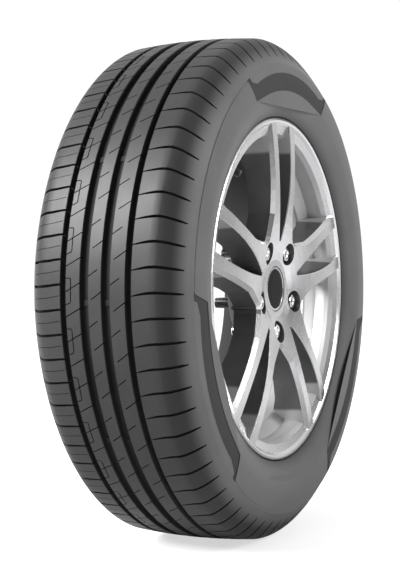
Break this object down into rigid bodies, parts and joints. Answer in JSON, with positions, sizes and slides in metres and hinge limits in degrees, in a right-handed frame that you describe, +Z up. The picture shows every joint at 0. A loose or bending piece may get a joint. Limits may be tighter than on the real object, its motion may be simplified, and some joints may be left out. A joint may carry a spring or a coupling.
{
  "type": "car tyre on alloy wheel",
  "caption": "Road tyre with ring grooves and shoulder cross grooves, fitted on a cast alloy wheel with paired curved spokes, bolts, cap and valve.",
  "frame": {"origin": "wheel centre: the spin axis crossed with the tyre's middle plane", "axes": "+Y along the spin axis towards the car, -Y the outboard face, +Z up; the wheel stands on its tread"},
  "size_m": [0.6519, 0.211, 0.652],
  "materials": {
    "tyre_rubber": "matte",
    "wheel_metal": "satin",
    "cap_silver": "satin",
    "cap_dark": "gloss",
    "bolt_steel": "gloss",
    "valve_rubber": "matte",
    "valve_brass": "satin",
    "valve_plastic": "matte"
  },
  "bodies": {
    "root": {"tyre": "tyre_rubber", "alloy_wheel": "wheel_metal", "centre_cap": "cap_silver", "cap_disc": "cap_dark", "wheel_bolt_1": "bolt_steel", "wheel_bolt_2": "bolt_steel", "wheel_bolt_3": "bolt_steel", "wheel_bolt_4": "bolt_steel", "wheel_bolt_5": "bolt_steel", "valve_body": "valve_rubber", "valve_tube": "valve_brass", "valve_core": "valve_brass", "valve_cap": "valve_plastic"}
  },
  "joints": []
}
